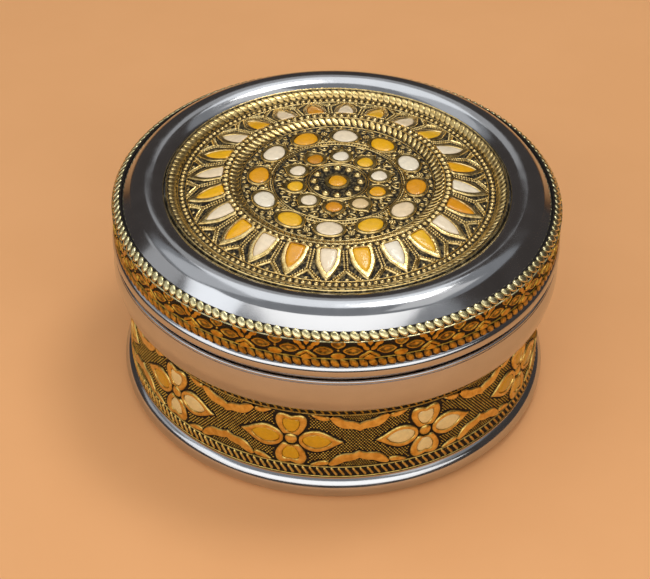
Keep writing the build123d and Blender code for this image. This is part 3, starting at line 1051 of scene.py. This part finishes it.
# ---- pieces of the lid
def skirt_pattern():
    """Rope border, flowers, garlands and leaf border of the lid's band."""
    every_flower = spread(skirt_count, skirt_turn)
    flowers = grown(skirt_flower(), 1.14, growth_level)
    garlands = grown(skirt_garland(), 1.12, growth_level)
    return [
        relief("lid_rope", shoulder_rope, rope_bead(), spread(rope_bead_count), rope_brass),
        relief("skirt_flowers", skirt, flowers, every_flower, skirt_brass),
        relief("skirt_garlands", skirt, garlands, every_flower + 180 / skirt_count, skirt_brass),
        relief("skirt_laurel", skirt, laurel(), spread(laurel_count), skirt_brass),
        relief("skirt_line", skirt, line_round(skirt, border_line, 0.5, 0.55), [0], skirt_brass),
        relief("rope_line", skirt, line_round(skirt, rope_line, 0.5, 0.7), [0], rope_brass),
    ]


def medallion_pattern():
    """Pressed pattern of the medallion, from its border inwards."""
    every_petal = spread(petal_count, petal_turn)
    every_oval = spread(oval_count, oval_turn)
    every_drop = spread(drop_count, drop_turn)
    track_bead = at(bead(0.98, 0.98, 1.0, 12), 0, -track_middle)
    crest_bead = at(bead(1.15, 1.35, 0.95, 12), 0, -crest_middle)
    hub_bead = at(bead(1.6, 1.6, 1.35, 14), 0, -hub_beads_middle)
    dot = at(bead(0.42, 0.42, 0.45, 7), 0, -dots_middle)
    lines = joined(*[line_round(medallion, distance, width, 0.5) for distance, width in medallion_rounds])
    return laid(
        medallion,
        ("medallion_border", border_rib(), spread(border_count), pale_brass),
        ("bead_track", track_bead, spread(track_count), pale_brass),
        ("petal_bezels", petal_bezel(), every_petal, pale_brass),
        ("petal_gaps", petal_gap(), every_petal + 180 / petal_count, pale_brass),
        ("crest_beads", crest_bead, spread(crest_count), pale_brass),
        ("slope_leaves", slope_leaf(), spread(crest_count), pale_brass),
        ("oval_bezels", oval_frame(), every_oval, patina_and_shade_brass),
        ("oval_trim", oval_trim(), every_oval, pale_brass),
        ("star_bezels", drop_frame(), every_drop, patina_and_shade_brass),
        ("star_trim", drop_trim(), every_drop, pale_brass),
        ("inner_beads", hub_bead, spread(hub_bead_count), pale_brass),
        ("disc_dots", dot, spread(dot_count), pale_brass),
        ("hub_bezel", hub(), [0], patina_and_shade_brass),
        ("medallion_lines", lines, [0], pale_brass),
    )


def disc_enamel():
    """Fillings of the ovals, the drops and the hub on the disc, each with an outline of its own."""
    rows = []
    for k, direction in enumerate(spread(oval_count, oval_turn)):
        fill = at(dome(blob(5.3, 4.2, k), 0.5, 0.95), 0, -oval_middle)
        rows.append((f"oval_fill_{k + 1}", fill, [direction], enamel_ivory if k % 2 else enamel_amber))
    colours = {"a": enamel_amber, "i": enamel_ivory, "p": enamel_peach, "h": enamel_honey}
    for k, direction in enumerate(spread(drop_count, drop_turn)):
        fill = at(dome(blob(3.3, 3.2, k + 20, 24), 0.45, 0.9), 0, -drop_middle)
        rows.append((f"star_fill_{k + 1}", fill, [direction], colours[drop_order[k]]))
    rows.append(("hub_fill", dome(blob(3.7, 3.7, 3), 0.5, 1.0), [0], enamel_amber))
    return laid(medallion, *rows)


lid = lathe("lid_body", lid_steel(), steel)
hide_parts("lid_shell")
band_face = [(lid_wall + glue, skirt_low), *map(tuple, skirt.outline), *fold]
fold_end = (fold[-1][0] - brass_sheet, fold[-1][1] - brass_sheet)
band_back = [fold_end, (lid_wall + glue, skirt_top - brass_sheet)]
band = lathe("lid_band_plate", band_face + band_back, skirt_brass, closed=True)
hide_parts("lid_band")
lid_pieces = [lid, band, *skirt_pattern()]

underside = [(0, medallion_low), (medallion_radius, medallion_low)]
plate = lathe("medallion_base", underside + [*map(tuple, medallion.outline)], pale_brass, 0.12)
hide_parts("medallion_plate")
lid_pieces += [plate, *medallion_pattern()]

every_other = spread(petal_count // 2, petal_turn)
petals_amber, petals_ivory = laid(
    medallion,
    ("petal_fill_amber", petal_dome(), every_other, enamel_amber),
    ("petal_fill_ivory", petal_dome(), every_other + 360 / petal_count, enamel_ivory),
)
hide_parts("petal_enamel_amber")
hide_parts("petal_enamel_ivory")
lid_pieces += [petals_amber, petals_ivory, *disc_enamel()]
for piece in lid_pieces:
    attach(piece, "lid")

# ---- tray: the CAD nodes with their finish
for node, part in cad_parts.items():
    if node.startswith("tray_"):
        part.data.materials.clear()
        part.data.materials.append(tray_steel)


# ---- floor, light and camera
sky_white = (0.84, 0.92, 1.0)
cool_white = (0.94, 0.97, 1.0)
warm_white = (1.0, 0.99, 0.97)


def flat_floor(size):
    """Floor that the box stands on."""
    mesh = bpy.data.meshes.new("floor")
    corners = [(-size, -size, 0), (size, -size, 0), (size, size, 0), (-size, size, 0)]
    mesh.from_pydata(corners, [], [(0, 1, 2, 3)])
    mesh.materials.append(floor_material())
    return placed("floor", mesh)


def panel(name, left, right, near, far, level, colour, height=1.05):
    """Rectangle of soft light that hangs level over the box, between two places across and two in depth."""
    light = bpy.data.lights.new(name, "AREA")
    light.shape = "RECTANGLE"
    light.size = right - left
    light.size_y = far - near
    light.energy = level * math.pi * light.size * light.size_y
    light.color = colour
    lamp = placed(name, light)
    lamp.location = ((left + right) / 2, (near + far) / 2, height)
    lamp.visible_camera = False


def camera():
    """Camera at the photograph's angle, a little rolled."""
    elevation = 39.45
    tilt = Matrix.Rotation(math.radians(90 - elevation), 3, "X")
    turned = tilt @ Matrix.Rotation(math.radians(1.1), 3, "Z")
    distance = 0.751
    aim = Vector((-0.0041, 0, 0.0348))
    data = bpy.data.cameras.new("camera")
    data.lens = 100.12
    data.sensor_width = 36.0
    data.clip_start = 0.01
    seen = placed("camera", data)
    seen.matrix_world = Matrix.LocRotScale(aim + turned.col[2] * distance, turned, None)
    bpy.context.scene.camera = seen


def room(reflected, seen):
    """World of one colour for the light and the reflections, and of another past the floor's edge."""
    world = bpy.data.worlds.new("world")
    world.use_nodes = True
    tree = world.node_tree
    to_camera = tree.nodes.new("ShaderNodeLightPath").outputs["Is Camera Ray"]
    colour = mixed(tree, to_camera, reflected, seen)
    tree.links.new(colour, tree.nodes["Background"].inputs["Color"])
    bpy.context.scene.world = world


flat_floor(6.0)
panel("light_all", -1.7, 1.3, -2.3, 0.75, 0.28, sky_white, 1.12)
panel("light_back", -0.38, 0.34, -0.05, 0.68, 1.05, cool_white)
panel("light_far_back", -0.38, 0.20, 0.68, 1.25, 0.45, cool_white)
panel("light_key", 0.10, 0.40, 0.02, 0.30, 7.5, warm_white, 1.02)
panel("light_left", -1.3, -0.38, -0.15, 0.50, 0.40, cool_white)
panel("light_right", 0.34, 0.80, -0.5, 0.2, 0.55, warm_white)
panel("light_front", -3.2, 2.2, -2.9, -0.78, 1.5, warm_white)
panel("light_front_left", -3.2, -0.9, -0.78, -0.25, 1.35, cool_white)
panel("light_side_left", -3.6, -1.7, -0.25, 0.9, 0.5, cool_white)
room((0.07, 0.06, 0.055, 1), linear((0.85, 0.64, 0.45)))
bpy.context.scene.view_settings.view_transform = "Standard"
camera()
